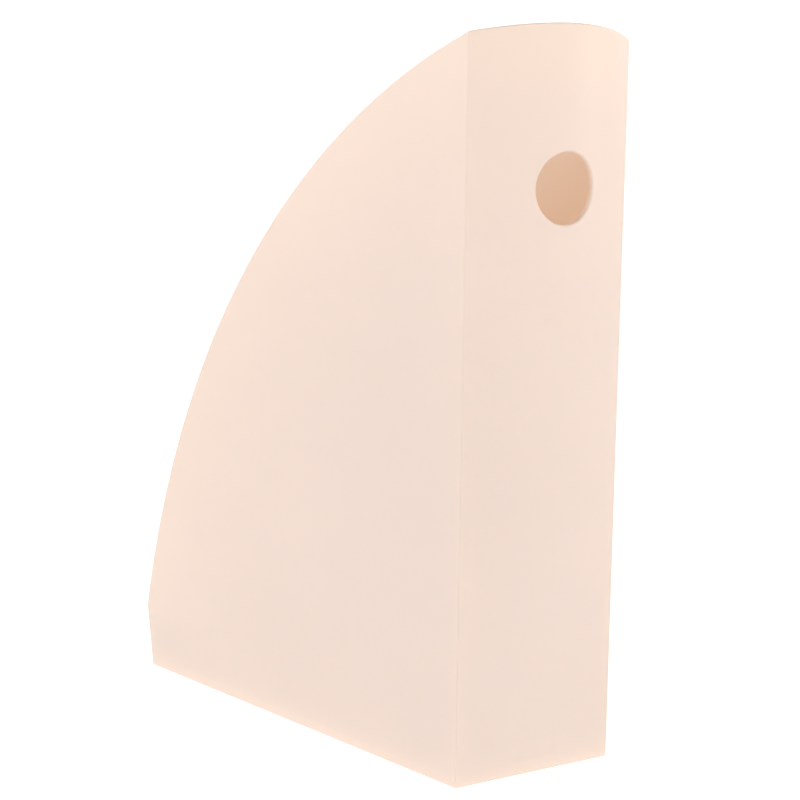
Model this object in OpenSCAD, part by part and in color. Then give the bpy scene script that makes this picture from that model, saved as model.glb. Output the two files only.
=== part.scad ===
// Magazine file: an open-topped box with a bowed spine, a finger hole,
// side walls cut away in one big arc, and a low leaning lip at the open end.
// It is one moulding. The nodes are its walls, which meet face to face.
// Millimetres, +Z up, the spine faces -Y, the origin is under the middle of the box.

/* [Body] */
// Outside width at the foot
foot_w = 84.2; // [70:0.2:110]
// Outside width at the spine's top corners
top_w = 86.2; // [84.2:0.2:114]
// Outside depth at the foot, from spine to lip
foot_d = 267.2; // [240:0.2:290]
// Height of the spine's top corners
corner_h = 315; // [290:1:330]
// Wall thickness
wall = 2; // [1.6:0.1:2.6]

/* [Spine] */
// How far the top corners stand in front of the foot
spine_lean = 8.6; // [4:0.2:14]
// How far the middle of the top stands in front of the corners
spine_bulge = 16.1; // [0:0.1:20]
// Depth of the post that ends the spine at each side
post_d = 3; // [3:0.5:8]

/* [Finger hole] */
// Diameter of the finger hole
hole_d = 30; // [24:0.5:36]
// Height of the finger hole's centre
hole_z = 252; // [220:1:265]

/* [Blank panel] */
// Side of the sunk square panel at the foot of the spine
panel_size = 26; // [16:1:32]
// Height of the panel's centre
panel_z = 19.5; // [18:0.5:30]
// Radius of the panel's corners
panel_r = 3; // [1:0.5:6]
// Depth of the panel
panel_depth = 0.3; // [0.2:0.1:0.6]

/* [Cutaway] */
// Radius of the arc that cuts the side walls
cut_r = 397.5; // [380:0.5:480]

/* [Lip] */
// Height of the lip
lip_h = 31.7; // [24:0.1:40]
// How far the lip's top leans out past its foot
lip_lean = 5.1; // [0:0.1:8]

/* [Floor] */
// Width of the foot ring under the floor's edge
ring_w = 5; // [3:0.5:10]
// How far the floor's middle is raised off the table
raise_h = 1.2; // [0.6:0.1:1.8]

/* [Hidden] */

shell_colour = [0.955, 0.875, 0.825];
eps = 0.5;          // overshoot of every cutter
across = 28;        // strips across the bowed spine
levels = 12;        // rings up the spine
spare_h = 12;       // height of the uncut spine above its corners
floor_h = wall;     // thickness of the floor's edge, on which the walls stand
bow_d = spine_lean + spine_bulge;          // how far the middle of the top stands in front of the foot
cut_w = 2 * max(foot_w, top_w);            // length of the cylinder that cuts the rim, past both sides
sink_h = 4;         // how far the panel's cutter reaches in front of the spine
draft = (top_w - foot_w) / 2 / corner_h;   // outward slope of each side wall

// The cutaway arc passes through the spine's top corner and the lip's top edge.
corner_pt = [-spine_lean, corner_h];
lip_pt = [foot_d + lip_lean, lip_h];
chord = lip_pt - corner_pt;
arc_height = sqrt(cut_r * cut_r - norm(chord) * norm(chord) / 4);
cut_centre = (corner_pt + lip_pt) / 2 + arc_height * [chord[1], -chord[0]] / norm(chord);

// Half of the outside width, and the place of the spine's outside face:
// u runs from -1 at one side of the spine to 1 at the other.
function half_w(z) = foot_w / 2 + draft * z;
function spine_y(u, z) = -(spine_lean + spine_bulge * (1 - u * u)) * z / corner_h;
function lip_y(z) = foot_d + lip_lean * z / lip_h;

// Height of the rim at u, where a straight line up the spine meets the arc
function rim_z(u) =
    let (
        k = (spine_lean + spine_bulge * (1 - u * u)) / corner_h,
        a = 1 + k * k,
        b = 2 * (k * cut_centre[0] - cut_centre[1]),
        c = cut_centre * cut_centre - cut_r * cut_r
    )
    (-b + sqrt(b * b - 4 * a * c)) / (2 * a);

// The middle of the box from front to back, which is y = 0 of the part
mid_y = (spine_y(0, rim_z(0)) + lip_y(lip_h)) / 2;

// One point of the spine's section at height z. Point 0 and the last point are the ends of the
// two posts, and the points between them follow the bow, outside (inset 0) or inside (inset wall).
function section_point(i, z, inset) =
    let (
        last = across + 2,
        u = -1 + 2 * (min(max(i, 1), last - 1) - 1) / across,
        x = u * (half_w(z) - inset),
        is_post = i == 0 || i == last
    )
    [x, is_post ? spine_y(1, z) + post_d : spine_y(x / half_w(z), z) + inset, z];

module in_place() translate([0, -mid_y, 0]) children();

module cutaway_cylinder()
    translate([0, cut_centre[0], cut_centre[1]])
        rotate([0, 90, 0])
            cylinder(r = cut_r, h = cut_w, center = true, $fn = 360);

// The bowed wall, taller than it ends up, as rings of section points
module tall_spine() {
    n = across + 3;
    heights = [for (k = [0 : levels]) floor_h + (corner_h + spare_h - floor_h) * k / levels];
    points = [
        for (z = heights) each concat(
            [for (i = [0 : n - 1]) section_point(i, z, 0)],
            [for (i = [0 : n - 1]) section_point(i, z, wall)]
        )
    ];
    ring = 2 * n;
    faces = concat(
        // outside and inside faces
        [for (k = [0 : levels - 1], i = [0 : n - 2])
            [k * ring + i, (k + 1) * ring + i, (k + 1) * ring + i + 1]],
        [for (k = [0 : levels - 1], i = [0 : n - 2])
            [k * ring + i, (k + 1) * ring + i + 1, k * ring + i + 1]],
        [for (k = [0 : levels - 1], i = [0 : n - 2])
            [k * ring + n + i, (k + 1) * ring + n + i + 1, (k + 1) * ring + n + i]],
        [for (k = [0 : levels - 1], i = [0 : n - 2])
            [k * ring + n + i, k * ring + n + i + 1, (k + 1) * ring + n + i + 1]],
        // ends of the posts
        [for (k = [0 : levels - 1])
            [k * ring, k * ring + n, (k + 1) * ring + n, (k + 1) * ring]],
        [for (k = [0 : levels - 1])
            [k * ring + n - 1, (k + 1) * ring + n - 1, (k + 1) * ring + 2 * n - 1, k * ring + 2 * n - 1]],
        // foot and top
        [for (i = [0 : n - 2]) [i, i + 1, n + i + 1, n + i]],
        [for (i = [0 : n - 2])
            [levels * ring + i, levels * ring + n + i, levels * ring + n + i + 1, levels * ring + i + 1]]
    );
    polyhedron(points = points, faces = faces, convexity = 6);
}

// A shallow square sink with round corners, its bottom parallel to the spine
module panel_sink() {
    slope = atan(bow_d / corner_h);
    rounded = panel_size - 2 * panel_r;
    translate([0, spine_y(0, panel_z) + panel_depth, panel_z])
        rotate([90 + slope, 0, 0])
            linear_extrude(height = sink_h)
                union() {
                    square([panel_size, rounded], center = true);
                    square([rounded, panel_size], center = true);
                    for (sx = [-1, 1], sy = [-1, 1])
                        translate([sx, sy] * rounded / 2)
                            circle(r = panel_r, $fn = 32);
                }
}

module spine_wall()
    color(shell_colour)
        in_place()
            difference() {
                intersection() {
                    tall_spine();
                    cutaway_cylinder();
                }
                translate([0, -bow_d - eps, hole_z])
                    rotate([-90, 0, 0])
                        cylinder(d = hole_d, h = bow_d + wall + eps, $fn = 96);
                panel_sink();
            }

// A side wall's outline in depth and height
module side_outline()
    intersection() {
        polygon([
            [spine_y(1, floor_h) + post_d, floor_h],
            [lip_y(floor_h), floor_h],
            [lip_y(lip_h + eps), lip_h + eps],
            [lip_y(lip_h + eps), corner_h + spare_h],
            [spine_y(1, corner_h + spare_h) + post_d, corner_h + spare_h]
        ]);
        translate(cut_centre)
            circle(r = cut_r, $fn = 360);
    }

// side is -1 for the left wall and 1 for the right one, seen from the spine
module side_wall(side)
    color(shell_colour)
        in_place()
            translate([side * foot_w / 2, 0, 0])
                rotate([0, side * atan(draft), 0])
                    translate([side > 0 ? -wall : 0, 0, 0])
                        rotate([90, 0, 90])
                            linear_extrude(height = wall)
                                side_outline();

module left_side_wall() side_wall(-1);

module right_side_wall() side_wall(1);

module front_lip() {
    corners = [
        for (z = [floor_h, lip_h], inset = [0, wall], side = [-1, 1])
            [side * (half_w(z) - wall), lip_y(z) - inset, z]
    ];
    color(shell_colour)
        in_place()
            polyhedron(
                points = corners,
                faces = [[0, 2, 3, 1], [4, 5, 7, 6], [0, 1, 5, 4], [2, 6, 7, 3], [0, 4, 6, 2], [1, 3, 7, 5]]
            );
}

module floor_panel() {
    inner_w = foot_w - 2 * ring_w;
    inner_d = foot_d - 2 * ring_w;
    color(shell_colour)
        in_place()
            difference() {
                union() {
                    translate([-foot_w / 2, 0, 0])
                        cube([foot_w, foot_d, floor_h]);
                    translate([-inner_w / 2, ring_w, 0])
                        cube([inner_w, inner_d, floor_h + raise_h]);
                }
                translate([-inner_w / 2 + wall, ring_w + wall, -eps])
                    cube([inner_w - 2 * wall, inner_d - 2 * wall, raise_h + eps]);
            }
}

spine_wall();
left_side_wall();
right_side_wall();
front_lip();
floor_panel();
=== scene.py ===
"""A moulded plastic magazine file: bowed spine, finger hole, arc-cut side walls and a low leaning lip.

The file is one moulding, so one shell stands for all the walls of the frame. Its blank is a straight box
with the hole, rims and steps in place. A geometry tree then forms it: it bows and leans the spine, spreads
the sides and tips the lip. The blank is in millimetres, and everything that is placed is in metres.
"""

import logging
import math
from dataclasses import dataclass, field
from enum import Enum
from typing import Iterable, Mapping, Sequence

import bmesh
import bpy
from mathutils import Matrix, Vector


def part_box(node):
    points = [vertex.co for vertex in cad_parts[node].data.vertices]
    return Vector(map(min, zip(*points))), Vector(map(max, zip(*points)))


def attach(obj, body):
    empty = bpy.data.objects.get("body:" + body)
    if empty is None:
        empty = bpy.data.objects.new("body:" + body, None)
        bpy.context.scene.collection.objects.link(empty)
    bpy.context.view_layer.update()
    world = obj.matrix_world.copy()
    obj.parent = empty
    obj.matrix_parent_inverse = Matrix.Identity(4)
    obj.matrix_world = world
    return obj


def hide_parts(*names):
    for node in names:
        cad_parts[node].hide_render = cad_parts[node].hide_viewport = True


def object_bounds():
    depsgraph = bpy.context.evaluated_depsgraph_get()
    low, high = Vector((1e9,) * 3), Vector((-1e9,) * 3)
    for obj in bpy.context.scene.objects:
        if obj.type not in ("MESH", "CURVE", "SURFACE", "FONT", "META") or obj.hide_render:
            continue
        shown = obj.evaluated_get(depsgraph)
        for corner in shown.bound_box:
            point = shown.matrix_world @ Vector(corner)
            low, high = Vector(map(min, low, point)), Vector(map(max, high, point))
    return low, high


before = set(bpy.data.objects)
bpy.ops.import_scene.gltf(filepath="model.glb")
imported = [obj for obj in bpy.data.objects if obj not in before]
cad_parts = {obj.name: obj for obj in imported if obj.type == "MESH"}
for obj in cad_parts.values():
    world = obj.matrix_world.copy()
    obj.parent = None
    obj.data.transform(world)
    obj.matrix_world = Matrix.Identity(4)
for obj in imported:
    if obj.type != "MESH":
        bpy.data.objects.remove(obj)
CAD_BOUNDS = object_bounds()

LOG = logging.getLogger("magazine_file")
MM = 0.001


def direction(azimuth: float, elevation: float) -> Vector:
    """Direction from the file to something around it.

    Args:
        azimuth: degrees round the file, 0 in front of the spine and 90 on its right.
        elevation: degrees above the horizon.

    Returns:
        The direction, one unit long.
    """
    turn, rise = math.radians(azimuth), math.radians(elevation)
    return Vector((math.sin(turn) * math.cos(rise), -math.cos(turn) * math.cos(rise), math.sin(rise)))


def aimed(name: str, data: bpy.types.ID, aim: Vector, away: Vector, distance: float) -> bpy.types.Object:
    """Places a lamp or a camera so that it faces a point.

    Args:
        name: the object's name.
        data: the lamp's or camera's data.
        aim: the point that it faces.
        away: the direction in which it stands.
        distance: how far off it stands, in metres.

    Returns:
        The placed object.
    """
    placed = bpy.data.objects.new(name, data)
    placed.location = aim + away * distance
    placed.rotation_euler = (-away).to_track_quat("-Z", "Y").to_euler()
    bpy.context.scene.collection.objects.link(placed)
    return placed


class Side(Enum):
    """The two side walls, by the sign of X on which they stand."""

    LEFT = -1
    RIGHT = 1


class Socket:
    """A node's output in a tree, with arithmetic that adds the tree's own Math nodes."""

    def __init__(self, tree: "Tree", link: bpy.types.NodeSocket) -> None:
        """Keeps the tree and the output that this value comes from."""
        self.tree = tree
        self.link = link

    def _math(self, operation: str, *values: "Socket | float") -> "Socket":
        """Adds one Math node.

        Args:
            operation: the node's operation, such as ADD.
            values: its inputs, in order.

        Returns:
            The node's result.
        """
        inputs = dict(enumerate(values))
        return self.tree.node("ShaderNodeMath", {"operation": operation}, inputs)

    def __add__(self, other: "Socket | float") -> "Socket":
        """Sum."""
        return self._math("ADD", self, other)

    __radd__ = __add__

    def __sub__(self, other: "Socket | float") -> "Socket":
        """Difference."""
        return self._math("SUBTRACT", self, other)

    def __rsub__(self, other: "Socket | float") -> "Socket":
        """Difference, with this value taken away."""
        return self._math("SUBTRACT", other, self)

    def __mul__(self, other: "Socket | float") -> "Socket":
        """Product."""
        return self._math("MULTIPLY", self, other)

    __rmul__ = __mul__

    def __truediv__(self, other: "Socket | float") -> "Socket":
        """Quotient."""
        return self._math("DIVIDE", self, other)

    def __rtruediv__(self, other: "Socket | float") -> "Socket":
        """Quotient, with this value below."""
        return self._math("DIVIDE", other, self)


class Tree:
    """Adds nodes to a shader or geometry tree, one call a node."""

    def __init__(self, tree: bpy.types.NodeTree) -> None:
        """Keeps the tree and empties it."""
        self.tree = tree
        tree.nodes.clear()

    def node(
        self,
        kind: str,
        settings: Mapping[str, object] | None = None,
        inputs: Mapping[int | str, object] | None = None,
        output: int | str = 0,
    ) -> Socket:
        """Adds a node.

        Args:
            kind: the node's type.
            settings: the node's own settings, which are set before its inputs.
            inputs: values or Sockets, by the input's name or number.
            output: the name or number of the output to return.

        Returns:
            The chosen output, or a Socket with no link for a node that has none.
        """
        made = self.tree.nodes.new(kind)
        for name, value in (settings or {}).items():
            setattr(made, name, value)
        for key, value in (inputs or {}).items():
            if isinstance(value, Socket):
                self.tree.links.new(value.link, made.inputs[key])
            else:
                made.inputs[key].default_value = value
        return Socket(self, made.outputs[output] if len(made.outputs) else None)

    def ramp(self, factor: Socket, stops: Sequence[tuple[float, tuple[float, ...]]]) -> Socket:
        """Adds a colour ramp.

        Args:
            factor: the ramp's factor.
            stops: position and colour of each stop, from low to high.

        Returns:
            The ramp's colour.
        """
        colour = self.node("ShaderNodeValToRGB", {}, {0: factor})
        elements = colour.link.node.color_ramp.elements
        elements.remove(elements[-1])
        elements[0].position, elements[0].color = stops[0]
        for position, value in stops[1:]:
            elements.new(position).color = value
        return colour


@dataclass(frozen=True)
class FileSizes:
    """Sizes of the file in millimetres. Those that a box of the frame gives are read from it."""

    foot_w: float
    foot_d: float
    lip_h: float
    lip_lean: float
    mid_y: float
    corner_h: float = 315.0
    top_w: float = 86.2
    spine_lean: float = 8.6
    spine_bulge: float = 16.1
    cut_r: float = 397.5
    wall: float = 2.0
    hole_r: float = 15.0
    hole_z: float = 252.0
    panel: float = 26.0
    panel_z: float = 19.5
    panel_r: float = 3.0
    panel_depth: float = 0.3
    ring_w: float = 5.0
    raise_h: float = 1.2

    @classmethod
    def from_frame(cls) -> "FileSizes":
        """Reads the foot and the lip from the frame's boxes, and keeps the other sizes."""
        floor_low, floor_high = (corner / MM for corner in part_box("floor_panel"))
        _, lip_high = (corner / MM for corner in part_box("front_lip"))
        return cls(
            foot_w=floor_high.x - floor_low.x,
            foot_d=floor_high.y - floor_low.y,
            lip_h=lip_high.z,
            lip_lean=lip_high.y - floor_high.y,
            mid_y=-floor_low.y,
        )

    @property
    def cut_centre(self) -> tuple[float, float]:
        """Depth and height of the centre of the arc through the spine's corner and the lip's edge."""
        start = Vector((-self.spine_lean, self.corner_h))
        end = Vector((self.foot_d + self.lip_lean, self.lip_h))
        chord = end - start
        reach = math.sqrt(self.cut_r**2 - chord.length_squared / 4)
        centre = (start + end) / 2 + reach * Vector((chord.y, -chord.x)) / chord.length
        return centre.x, centre.y

    @property
    def draft(self) -> float:
        """Outward slope of each side wall."""
        return (self.top_w - self.foot_w) / 2 / self.corner_h

    def rim_z(self, x: float) -> float:
        """Height of the spine's rim.

        Args:
            x: place across the straight blank.

        Returns:
            The height at which the formed line up the spine at x meets the cutaway arc.
        """
        share = 2 * x / self.foot_w
        slope = (self.spine_lean + self.spine_bulge * (1 - share**2)) / self.corner_h
        centre_y, centre_z = self.cut_centre
        a = 1 + slope**2
        b = 2 * (slope * centre_y - centre_z)
        c = centre_y**2 + centre_z**2 - self.cut_r**2
        return (-b + math.sqrt(b * b - 4 * a * c)) / (2 * a)

    def rim_station(self, share: float) -> tuple[float, float]:
        """One point of the side wall's arc, in the straight blank.

        Args:
            share: 0 at the spine's corner, 1 at the lip's edge, in even steps of angle.

        Returns:
            Depth and height in the blank.
        """
        centre_y, centre_z = self.cut_centre
        first = math.asin((-self.spine_lean - centre_y) / self.cut_r)
        last = math.asin((self.foot_d + self.lip_lean - centre_y) / self.cut_r)
        angle = first + share * (last - first)
        formed_y = centre_y + self.cut_r * math.sin(angle)
        z = centre_z + self.cut_r * math.cos(angle)
        back_slope = self.spine_lean / self.corner_h
        front_slope = self.lip_lean / self.lip_h
        depth_share = (formed_y + z * back_slope) / (self.foot_d + z * (back_slope + front_slope))
        return self.foot_d * depth_share, z


@dataclass
class MouldedShell:
    """The whole moulding as one closed shell: spine, sides, lip and floor.

    Lengths are in millimetres. A share of rounding is a share of round_r.
    """

    sizes: FileSizes
    # Cells across and up the spine, and along each side wall's arc
    columns: int = 40
    rows: int = 80
    arc_steps: int = 72
    # The widest rounding, how finely it is made, the angle that counts as sharp, and the shares
    round_r: float = 1.1
    round_segments: int = 4
    sharp_angle: float = 30.0
    rim_share: float = 0.68
    crease_share: float = 0.55
    inner_hole_share: float = 0.15
    step_share: float = 0.45
    # Room filled in bands round the hole and either side of the panel's edge, and where each band ends
    hole_margin: float = 7.0
    hole_bands: tuple[float, ...] = (0.7, 0.4, 0.2, 0.0)
    panel_margin: float = 2.0
    brow_bands: tuple[float, ...] = (0.4, 0.0)
    field_margin: float = 2.0
    field_bands: tuple[float, ...] = (0.6, 0.0)
    # How far each edge of the panel slopes inwards on its way down
    panel_side_slope: float = 2.4
    panel_top_slope: float = 0.2
    panel_foot_slope: float = 1.5
    # How far the floor's step runs inwards on its way up
    step_run: float = 0.8
    # How close counts as the same place, as on the hole's edge, and as near a face of the blank
    merge_gap: float = 0.001
    hole_gap: float = 0.1
    face_gap: float = 1.0
    mesh: bmesh.types.BMesh = field(default_factory=bmesh.new)

    def vert(self, x: float, y: float, z: float) -> bmesh.types.BMVert:
        """Adds one vertex to the blank."""
        return self.mesh.verts.new((x, y, z))

    def face(self, *verts: bmesh.types.BMVert) -> bmesh.types.BMFace:
        """Adds one face to the blank."""
        return self.mesh.faces.new(verts)

    def spine_grid(self, depth: float, foot_z: float) -> list[list[bmesh.types.BMVert]]:
        """Vertices of one face of the spine, as rows from the foot to the rim.

        Args:
            depth: how far behind the outside face it lies.
            foot_z: height of its lowest row.

        Returns:
            The rows, each from left to right.
        """
        size = self.sizes
        squeeze = 1 - 2 * depth / size.foot_w
        rows = []
        for k in range(self.rows + 1):
            row = []
            for i in range(self.columns + 1):
                x = size.foot_w * (i / self.columns - 0.5)
                top = size.rim_z(x)
                z = max(top * k / self.rows, foot_z) if k else foot_z
                row.append(self.vert(x * squeeze, depth, z))
            rows.append(row)
        return rows

    def block(self, x_half: float, low_z: float, high_z: float) -> tuple[range, range]:
        """Cells of the spine's grid that cover a rectangle about its middle line.

        Args:
            x_half: half of the rectangle's width.
            low_z: its lower edge.
            high_z: its upper edge.

        Returns:
            The ranges of columns and of rows.
        """
        size = self.sizes
        half = math.ceil(x_half / (size.foot_w / self.columns))
        row_h = size.rim_z(0) / self.rows
        middle = self.columns // 2
        return (
            range(middle - half, middle + half),
            range(math.floor(low_z / row_h), math.ceil(high_z / row_h)),
        )

    @staticmethod
    def block_edge(
        grid: list[list[bmesh.types.BMVert]], cells: tuple[range, range]
    ) -> list[bmesh.types.BMVert]:
        """The vertices round a block of the grid, anticlockwise from its lower left corner."""
        across, up = cells
        left, right, low, high = across.start, across.stop, up.start, up.stop
        return (
            [grid[low][i] for i in range(left, right)]
            + [grid[k][right] for k in range(low, high)]
            + [grid[high][i] for i in range(right, left, -1)]
            + [grid[k][left] for k in range(high, low, -1)]
        )

    def fill_grid(
        self, grid: list[list[bmesh.types.BMVert]], holes: Iterable[tuple[range, range]]
    ) -> None:
        """Adds the faces of a grid, except in the blocks that are left open."""
        open_cells = {(i, k) for across, up in holes for i in across for k in up}
        for k in range(self.rows):
            for i in range(self.columns):
                if (i, k) not in open_cells:
                    self.face(grid[k][i], grid[k][i + 1], grid[k + 1][i + 1], grid[k + 1][i])

    def loop_faces(
        self, outer: Sequence[bmesh.types.BMVert], inner: Sequence[bmesh.types.BMVert]
    ) -> list[bmesh.types.BMFace]:
        """Joins two closed loops of equal length by a band of faces."""
        count = len(outer)
        return [
            self.face(outer[i], outer[(i + 1) % count], inner[(i + 1) % count], inner[i])
            for i in range(count)
        ]

    def blend_loops(
        self,
        outer: Sequence[bmesh.types.BMVert],
        inner: Sequence[tuple[float, float]],
        shares: Sequence[float],
    ) -> list[bmesh.types.BMVert]:
        """Fills between a block's edge and a closed outline inside it, in bands.

        Args:
            outer: the block's edge.
            inner: x and z of the outline's points, one for each vertex of the edge.
            shares: where each band ends, from the outline (0) to the edge (1).

        Returns:
            The outline's vertices.
        """
        depth = outer[0].co.y
        last = list(outer)
        for share in shares:
            ring = [
                self.vert(x + share * (v.co.x - x), depth, z + share * (v.co.z - z))
                for v, (x, z) in zip(outer, inner)
            ]
            self.loop_faces(last, ring)
            last = ring
        return last

    def hole_outline(self, count: int, start: float) -> list[tuple[float, float]]:
        """Points of the finger hole in the blank, narrowed by as much as forming widens it.

        Args:
            count: how many points.
            start: the angle of the first one.

        Returns:
            x and z of each point.
        """
        size = self.sizes
        widen = 1 + 2 * size.draft * size.hole_z / size.foot_w
        angles = [start + math.tau * i / count for i in range(count)]
        return [
            (size.hole_r * math.cos(a) / widen, size.hole_z + size.hole_r * math.sin(a))
            for a in angles
        ]

    def panel_outline(
        self,
        edge: Sequence[bmesh.types.BMVert],
        side_inset: float = 0.0,
        top_inset: float = 0.0,
        foot_inset: float = 0.0,
    ) -> list[tuple[float, float]]:
        """Points of the panel's round-cornered square, each on the ray to a vertex of the block's edge.

        Args:
            edge: the block's edge.
            side_inset: how far inside the panel's upright edges the points lie.
            top_inset: how far inside its upper edge they lie.
            foot_inset: how far inside its lower edge they lie.

        Returns:
            x and z of each point.
        """
        size = self.sizes
        half = size.panel / 2
        radius = size.panel_r
        core = half - radius
        points = []
        for v in edge:
            x, z = v.co.x, v.co.z - size.panel_z
            reach = half / max(abs(x), abs(z))
            px, pz = x * reach, z * reach
            if abs(px) > core and abs(pz) > core:
                corner = Vector((math.copysign(core, px), math.copysign(core, pz)))
                ray = Vector((px, pz)).normalized()
                along = ray.dot(corner)
                across = corner.length_squared - along**2
                reach = along + math.sqrt(max(radius**2 - across, 0.0))
                px, pz = ray * reach
            end_inset = top_inset if pz > 0 else foot_inset
            points.append((px * (1 - side_inset / half), size.panel_z + pz * (1 - end_inset / half)))
        return points

    def sink_panel(self, grid: list[list[bmesh.types.BMVert]]) -> tuple[range, range]:
        """Adds the blank sunk panel to the spine's outside.

        Args:
            grid: the outside face of the spine.

        Returns:
            The block of cells that the panel takes up.
        """
        size = self.sizes
        reach = size.panel / 2 + self.panel_margin
        cells = self.block(reach, size.panel_z - reach, size.panel_z + reach)
        edge = self.block_edge(grid, cells)
        brow = self.blend_loops(edge, self.panel_outline(edge), self.brow_bands)
        slopes = (self.panel_side_slope, self.panel_top_slope, self.panel_foot_slope)
        step = [self.vert(x, size.panel_depth, z) for x, z in self.panel_outline(edge, *slopes)]
        self.loop_faces(brow, step)
        inset = self.panel_side_slope + self.field_margin
        field_outline = self.panel_outline(edge, inset, inset, inset)
        field_edge = self.blend_loops(step, field_outline, self.field_bands)
        self.fill_patch(field_edge, len(cells[0]), len(cells[1]))
        return cells

    def fill_patch(self, edge: Sequence[bmesh.types.BMVert], across: int, up: int) -> None:
        """Fills a closed four-sided loop with a grid of faces.

        Args:
            edge: its vertices, anticlockwise from the lower left corner.
            across: cells along its lower side.
            up: cells along its right side.
        """
        low = list(edge[: across + 1])
        right = list(edge[across : across + up + 1])
        high = list(edge[across + up : 2 * across + up + 1])[::-1]
        left = [edge[0]] + list(edge[: 2 * across + up - 1 : -1])
        last = low
        for k in range(1, up + 1):
            if k == up:
                row = high
            else:
                row = [left[k]]
                for i in range(1, across):
                    s, t = i / across, k / up
                    place = (
                        (1 - t) * low[i].co + t * high[i].co + (1 - s) * left[k].co + s * right[k].co
                        - (1 - s) * (1 - t) * low[0].co - s * (1 - t) * low[-1].co
                        - (1 - s) * t * high[0].co - s * t * high[-1].co
                    )
                    row.append(self.mesh.verts.new(place))
                row.append(right[k])
            for i in range(across):
                self.face(last[i], last[i + 1], row[i + 1], row[i])
            last = row

    def plate(
        self,
        edges: Sequence[Sequence[bmesh.types.BMVert]],
        insets: Sequence[tuple[float, float]],
    ) -> None:
        """Fills a face of the floor, with a step to its raised middle.

        Args:
            edges: the four sides of the face, each from corner to corner, in order.
            insets: how far the step's lower and upper edges lie inside the foot, and their heights.
        """
        size = self.sizes
        corners = []
        for inset, height in insets:
            x, low, high = size.foot_w / 2 - inset, inset, size.foot_d - inset
            corners.append(
                [self.vert(-x, low, height), self.vert(x, low, height),
                 self.vert(x, high, height), self.vert(-x, high, height)]
            )
        for i, side in enumerate(edges):
            self.face(*side, corners[0][(i + 1) % 4], corners[0][i])
        for below, above in zip(corners, corners[1:]):
            self.loop_faces(below, above)
        self.face(*corners[-1])

    def blank(self) -> bpy.types.Object:
        """Builds the straight blank, with every edge that is to be rounded weighted for it.

        Returns:
            The blank, in millimetres.
        """
        size = self.sizes
        wall = size.wall
        outside = self.spine_grid(0, 0)
        inside = self.spine_grid(wall, wall)

        reach = size.hole_r + self.hole_margin
        hole_cells = self.block(reach, size.hole_z - reach, size.hole_z + reach)
        mouths = []
        for grid in (outside, inside):
            edge = self.block_edge(grid, hole_cells)
            first = edge[0].co
            start = math.atan2(first.z - size.hole_z, first.x)
            outline = self.hole_outline(len(edge), start)
            mouths.append(self.blend_loops(edge, outline, self.hole_bands))
        self.loop_faces(mouths[0], mouths[1])
        panel_cells = self.sink_panel(outside)
        self.fill_grid(outside, (hole_cells, panel_cells))
        self.fill_grid(inside, (hole_cells,))

        foot = {}
        shelf = {}
        rims = {}
        for side in Side:
            x = side.value * size.foot_w / 2
            inner_x = x - side.value * wall
            column = 0 if side is Side.LEFT else -1
            stations = [size.rim_station(j / self.arc_steps) for j in range(1, self.arc_steps + 1)]
            outer_rim = [self.vert(x, y, z) for y, z in stations]
            inner_rim = [self.vert(inner_x, min(y, size.foot_d - wall), z) for y, z in stations]
            foot[side] = self.vert(x, size.foot_d, 0)
            shelf[side] = self.vert(inner_x, size.foot_d - wall, wall)
            outer_edge = [row[column] for row in outside]
            inner_edge = [row[column] for row in inside]
            self.face(*outer_edge, *outer_rim, foot[side])
            self.face(*inner_edge, *inner_rim, shelf[side])
            outer_rim.insert(0, outer_edge[-1])
            inner_rim.insert(0, inner_edge[-1])
            for j in range(self.arc_steps):
                self.face(outer_rim[j], outer_rim[j + 1], inner_rim[j + 1], inner_rim[j])
            rims[side] = (outer_rim[-1], inner_rim[-1])
        for i in range(self.columns):
            self.face(outside[-1][i], outside[-1][i + 1], inside[-1][i + 1], inside[-1][i])

        left, right = Side.LEFT, Side.RIGHT
        self.face(foot[left], foot[right], rims[right][0], rims[left][0])
        self.face(shelf[left], shelf[right], rims[right][1], rims[left][1])
        self.face(rims[left][0], rims[right][0], rims[right][1], rims[left][1])
        for grid, ends, inset, height in (
            (outside, foot, size.ring_w + wall, 0),
            (inside, shelf, size.ring_w, wall),
        ):
            edges = (
                grid[0],
                (grid[0][-1], ends[right]),
                (ends[right], ends[left]),
                (ends[left], grid[0][0]),
            )
            self.plate(edges, ((inset, height), (inset + self.step_run, height + size.raise_h)))
        return self.weigh_edges()

    def edge_share(self, edge: bmesh.types.BMEdge) -> float:
        """How round a sharp edge of the blank is moulded.

        Args:
            edge: the edge.

        Returns:
            Its share of the rounding, or 0 on the panel, where edges stay crisp.
        """
        size = self.sizes
        start, end = (v.co for v in edge.verts)
        middle = (start + end) / 2
        near_spine = middle.y < size.wall / 2
        gap = self.face_gap
        if near_spine and abs(middle.x) < size.panel and gap < middle.z < size.panel_z * 2:
            return 0.0
        if math.hypot(middle.x, middle.z - size.hole_z) < size.hole_r + self.hole_gap:
            return 1.0 if near_spine else self.inner_hole_share
        inside_walls = (
            abs(middle.x) < size.foot_w / 2 - size.wall - gap
            and size.wall + gap < middle.y < size.foot_d - size.wall - gap
        )
        if inside_walls and middle.z <= size.wall + size.raise_h:
            return self.step_share
        along = end - start
        if abs(along.z) > abs(along.x) and middle.y < self.merge_gap:
            return self.crease_share
        return self.rim_share

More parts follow.
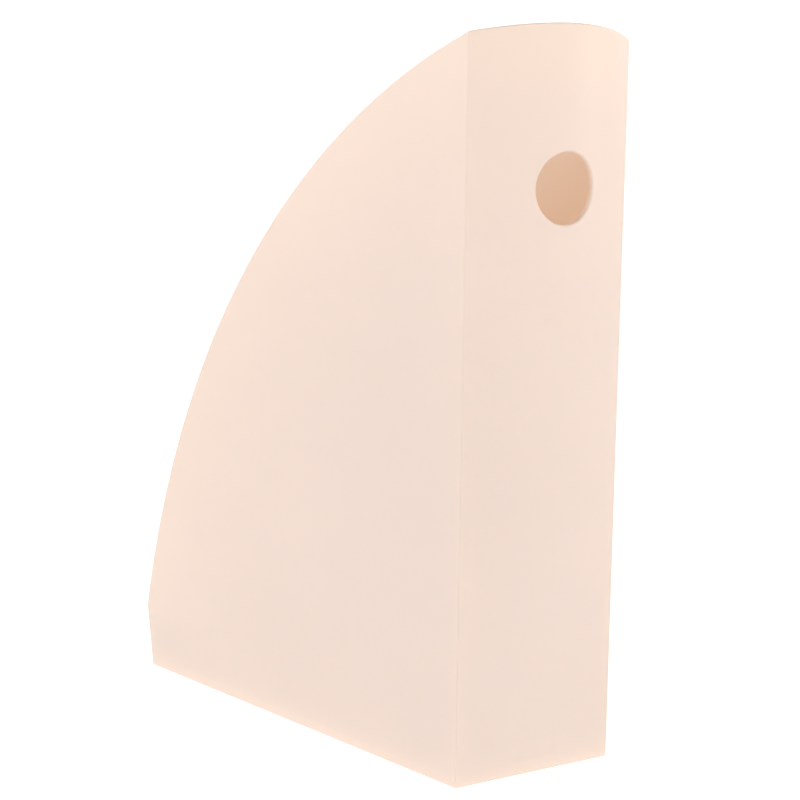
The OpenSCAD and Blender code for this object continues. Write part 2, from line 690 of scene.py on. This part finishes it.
    def weigh_edges(self) -> bpy.types.Object:
        """Cleans the blank, turns its faces outwards and weighs each sharp edge by how round it is.

        Returns:
            The blank's object.
        """
        spare = [v for v in self.mesh.verts if not v.link_faces]
        bmesh.ops.delete(self.mesh, geom=spare, context="VERTS")
        bmesh.ops.remove_doubles(self.mesh, verts=self.mesh.verts, dist=self.merge_gap)
        bmesh.ops.recalc_face_normals(self.mesh, faces=self.mesh.faces)
        weights = self.mesh.edges.layers.float.new("bevel_weight_edge")
        sharp = math.radians(self.sharp_angle)
        for f in self.mesh.faces:
            f.smooth = True
        for edge in self.mesh.edges:
            if edge.calc_face_angle(0) >= sharp:
                edge[weights] = self.edge_share(edge)
                edge.smooth = edge[weights] > 0
        made = bpy.data.meshes.new("shell_blank")
        self.mesh.to_mesh(made)
        self.mesh.free()
        blank = bpy.data.objects.new("shell_blank", made)
        bpy.context.scene.collection.objects.link(blank)
        return blank

    def forming_tree(self) -> bpy.types.NodeTree:
        """Builds the tree that forms the straight blank.

        A point's depth share f is 0 at the spine and 1 at the lip, and its width share q is -1 to 1.
        Every point moves back and forth in proportion to its height, by (1 - f) times the spine's bow
        and f times the lip's lean, and out sideways by the draft.

        Returns:
            The geometry tree, with an input for each size.
        """
        group = bpy.data.node_groups.new("form_shell", "GeometryNodeTree")
        tree = Tree(group)
        group.interface.new_socket("Geometry", in_out="INPUT", socket_type="NodeSocketGeometry")
        names = ("Foot Width", "Foot Depth", "Corner Height", "Spine Lean", "Spine Bulge",
                 "Lip Slope", "Side Draft", "Middle Depth", "Unit")
        for name in names:
            group.interface.new_socket(name, in_out="INPUT", socket_type="NodeSocketFloat")
        group.interface.new_socket("Finish", in_out="INPUT", socket_type="NodeSocketMaterial")
        group.interface.new_socket("Geometry", in_out="OUTPUT", socket_type="NodeSocketGeometry")
        source = tree.node("NodeGroupInput")
        given = {socket.name: Socket(tree, socket) for socket in source.link.node.outputs}
        width, depth, corner_h = given["Foot Width"], given["Foot Depth"], given["Corner Height"]

        place = tree.node("GeometryNodeInputPosition")
        split = tree.node("ShaderNodeSeparateXYZ", {}, {0: place}).link.node
        x, y, z = (Socket(tree, output) for output in split.outputs)
        depth_share = y / depth
        width_share = 2 * x / width
        bow = (given["Spine Lean"] + given["Spine Bulge"] * (1 - width_share * width_share)) / corner_h
        formed_x = x * (1 + 2 * given["Side Draft"] * z / width)
        formed_y = y + z * (depth_share * given["Lip Slope"] - (1 - depth_share) * bow)
        unit = given["Unit"]
        moved = tree.node(
            "ShaderNodeCombineXYZ",
            {},
            {0: formed_x * unit, 1: (formed_y - given["Middle Depth"]) * unit, 2: z * unit},
        )
        shape, finish = given["Geometry"], given["Finish"]
        formed = tree.node("GeometryNodeSetPosition", {}, {"Geometry": shape, "Position": moved})
        real = tree.node("GeometryNodeRealizeInstances", {}, {"Geometry": formed})
        dressed = tree.node("GeometryNodeSetMaterial", {}, {"Geometry": real, "Material": finish})
        tree.node("NodeGroupOutput", {}, {"Geometry": dressed})
        return group

    def build(self, finish: bpy.types.Material) -> bpy.types.Object:
        """Builds, rounds, forms and dresses the shell.

        Args:
            finish: the shell's material.

        Returns:
            The finished piece.
        """
        size = self.sizes
        blank = self.blank()
        rounding = blank.modifiers.new("rounding", "BEVEL")
        rounding.limit_method = "WEIGHT"
        rounding.width = self.round_r
        rounding.segments = self.round_segments
        rounding.use_clamp_overlap = False
        forming = blank.modifiers.new("forming", "NODES")
        forming.node_group = self.forming_tree()
        values = {
            "Foot Width": size.foot_w,
            "Foot Depth": size.foot_d,
            "Corner Height": size.corner_h,
            "Spine Lean": size.spine_lean,
            "Spine Bulge": size.spine_bulge,
            "Lip Slope": size.lip_lean / size.lip_h,
            "Side Draft": size.draft,
            "Middle Depth": size.mid_y,
            "Unit": MM,
            "Finish": finish,
        }
        set_inputs(forming, values)
        shell = baked(blank, "moulded_shell")
        evening = shell.modifiers.new("evening", "WEIGHTED_NORMAL")
        evening.keep_sharp = True
        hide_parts("spine_wall", "left_side_wall", "right_side_wall", "front_lip", "floor_panel")
        return shell


def set_inputs(modifier: bpy.types.NodesModifier, values: Mapping[str, object]) -> None:
    """Sets a geometry modifier's inputs by their identifiers.

    Args:
        modifier: the modifier, with its tree in place.
        values: the values, by the inputs' names.
    """
    for item in modifier.node_group.interface.items_tree:
        if item.item_type == "SOCKET" and item.in_out == "INPUT" and item.name in values:
            modifier[item.identifier] = values[item.name]


def baked(source: bpy.types.Object, name: str) -> bpy.types.Object:
    """Turns an object with modifiers into a plain mesh object and removes the first one.

    Args:
        source: the object whose modifiers make the piece.
        name: the piece's name.

    Returns:
        The plain piece.
    """
    graph = bpy.context.evaluated_depsgraph_get()
    mesh = bpy.data.meshes.new_from_object(source.evaluated_get(graph))
    mesh.name = name
    old = source.data
    bpy.data.objects.remove(source)
    bpy.data.meshes.remove(old)
    piece = bpy.data.objects.new(name, mesh)
    bpy.context.scene.collection.objects.link(piece)
    LOG.info("%s: %d faces", name, len(mesh.polygons))
    return piece


@dataclass(frozen=True)
class MouldedPlastic:
    """Satin polystyrene: an even pastel with a faint flow pattern and the mould's fine grain.

    The wall is thin, so a share of the light comes through it, warmer than it went in.
    """

    name: str = "pastel_polystyrene"
    colour: tuple[float, float, float] = (0.83, 0.8, 0.755)
    roughness: float = 0.32
    flow_scale: float = 9.0
    flow_contrast: float = 0.012
    flow_roughness: float = 0.05
    grain_roughness: float = 0.04
    grain_scale: float = 1400.0
    grain_height: float = 0.000012
    wave_scale: float = 38.0
    wave_height: float = 0.00006
    through: float = 0.36
    through_colour: tuple[float, float, float] = (1.0, 0.69, 0.42)

    def build(self) -> bpy.types.Material:
        """Builds the material.

        Returns:
            The material.
        """
        material = bpy.data.materials.new(self.name)
        material.use_nodes = True
        tree = Tree(material.node_tree)
        place = tree.node("ShaderNodeTexCoord", {}, {}, "Object")
        flow, grain, wave = (
            tree.node("ShaderNodeTexNoise", {}, {"Vector": place, "Scale": scale, "Detail": detail})
            for scale, detail in ((self.flow_scale, 3.0), (self.grain_scale, 2.0), (self.wave_scale, 1.0))
        )
        pale = tuple(min(1.0, c * (1 + self.flow_contrast)) for c in self.colour) + (1.0,)
        deep = tuple(c * (1 - self.flow_contrast) for c in self.colour) + (1.0,)
        colour = tree.ramp(flow, ((0.3, deep), (0.7, pale)))
        unevenness = self.flow_roughness * (flow - 0.5) + self.grain_roughness * (grain - 0.5)
        roughness = self.roughness + unevenness
        height = grain * self.grain_height + wave * self.wave_height
        bump = tree.node("ShaderNodeBump", {}, {"Height": height, "Distance": 1.0, "Strength": 1.0})
        shader = tree.node(
            "ShaderNodeBsdfPrincipled",
            {},
            {
                "Base Color": colour,
                "Roughness": roughness,
                "Normal": bump,
                "IOR": 1.5,
            },
        )
        glow = tree.node("ShaderNodeBsdfTranslucent", {}, {"Color": (*self.through_colour, 1.0)})
        wall = tree.node("ShaderNodeMixShader", {}, {0: self.through, 1: shader, 2: glow})
        tree.node("ShaderNodeOutputMaterial", {}, {"Surface": wall})
        return material


@dataclass(frozen=True)
class PaleFloor:
    """The plain pale floor's matt finish, which glows enough to stay white under the file."""

    name: str = "pale_floor"
    colour: tuple[float, float, float] = (0.9, 0.9, 0.9)
    glow: float = 0.5

    def build(self) -> bpy.types.Material:
        """Builds the material.

        Returns:
            The material.
        """
        material = bpy.data.materials.new(self.name)
        material.use_nodes = True
        tree = Tree(material.node_tree)
        shader = tree.node(
            "ShaderNodeBsdfPrincipled",
            {},
            {
                "Base Color": (*self.colour, 1.0),
                "Roughness": 0.9,
                "Emission Color": (1.0, 1.0, 1.0, 1.0),
                "Emission Strength": self.glow,
            },
        )
        tree.node("ShaderNodeOutputMaterial", {}, {"Surface": shader})
        return material


@dataclass(frozen=True)
class Softbox:
    """One soft studio light, aimed at the file."""

    name: str
    azimuth: float
    elevation: float
    distance: float
    width: float
    height: float
    power: float

    def build(self, aim: Vector) -> bpy.types.Object:
        """Builds the light.

        Args:
            aim: the point that it faces.

        Returns:
            The light's object.
        """
        light = bpy.data.lights.new(self.name, "AREA")
        light.shape = "RECTANGLE"
        light.size = self.width
        light.size_y = self.height
        light.energy = self.power
        lamp = aimed(self.name, light, aim, direction(self.azimuth, self.elevation), self.distance)
        lamp.visible_camera = False
        return lamp


@dataclass
class Studio:
    """Floor, lights, surroundings and camera.

    The surroundings are pairs of elevation, in degrees, and brightness.
    """

    middle: Vector
    aim_shift: tuple[float, float, float] = (0.0108, -0.0088, -0.008)
    azimuth: float = -35.35
    elevation: float = 6.27
    distance: float = 0.9467
    lens: float = 89.54
    sensor_w: float = 36.0
    clip_start: float = 0.01
    floor_r: float = 12.0
    floor_sides: int = 96
    surround: tuple[tuple[float, float], ...] = (
        (-90.0, 1.05), (4.0, 1.05), (10.0, 4.0), (18.0, 1.6), (28.0, 1.1), (40.0, 0.0),
    )
    lights: tuple[Softbox, ...] = (
        Softbox("front_softbox", azimuth=-10, elevation=65, distance=0.7, width=0.3, height=0.3, power=0.35),
        Softbox("low_softbox", azimuth=50, elevation=10, distance=1.0, width=0.4, height=0.3, power=0.56),
        Softbox("side_softbox", azimuth=90, elevation=30, distance=1.4, width=0.8, height=0.8, power=2.46),
        Softbox("back_softbox", azimuth=-140, elevation=35, distance=1.6, width=1.0, height=1.0, power=4.4),
    )

    def build(self) -> None:
        """Builds the floor, the surroundings, the lights and the camera."""
        aim = self.middle + Vector(self.aim_shift)
        self.add_floor()
        self.add_surround()
        for light in self.lights:
            light.build(aim)
        self.add_camera(aim)

    def add_floor(self) -> None:
        """Adds a wide round floor."""
        made = bmesh.new()
        bmesh.ops.create_circle(made, cap_ends=True, segments=self.floor_sides, radius=self.floor_r)
        mesh = bpy.data.meshes.new("studio_floor")
        made.to_mesh(mesh)
        made.free()
        floor = bpy.data.objects.new("studio_floor", mesh)
        mesh.materials.append(PaleFloor().build())
        bpy.context.scene.collection.objects.link(floor)

    def add_surround(self) -> None:
        """Adds the white light of the room, which changes with its height above the horizon."""
        world = bpy.data.worlds.new("white_room")
        world.use_nodes = True
        tree = Tree(world.node_tree)
        place = tree.node("ShaderNodeTexCoord", {}, {}, "Generated")
        up = tree.node("ShaderNodeSeparateXYZ", {}, {0: place}, "Z")
        brightest = max(level for _, level in self.surround)
        stops = [
            ((math.sin(math.radians(elevation)) + 1) / 2, (level / brightest,) * 3 + (1.0,))
            for elevation, level in self.surround
        ]
        shade = tree.ramp((up + 1) / 2, stops)
        glow = tree.node("ShaderNodeBackground", {}, {"Color": shade, "Strength": brightest})
        tree.node("ShaderNodeOutputWorld", {}, {"Surface": glow})
        bpy.context.scene.world = world

    def add_camera(self, aim: Vector) -> None:
        """Adds the camera, upright and a little above what it faces.

        Args:
            aim: the point that it faces.
        """
        lens = bpy.data.cameras.new("camera")
        lens.lens = self.lens
        lens.sensor_width = self.sensor_w
        lens.clip_start = self.clip_start
        camera = aimed("camera", lens, aim, direction(self.azimuth, self.elevation), self.distance)
        bpy.context.scene.camera = camera
        bpy.context.scene.view_settings.view_transform = "Standard"


def main() -> None:
    """Builds the studio and the file, and reports each piece."""
    logging.basicConfig(level=logging.INFO, format="%(name)s: %(message)s")
    low, high = CAD_BOUNDS
    Studio(middle=(Vector(low) + Vector(high)) / 2).build()
    shell = MouldedShell(FileSizes.from_frame()).build(MouldedPlastic().build())
    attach(shell, "root")


if __name__ == "__main__":
    main()
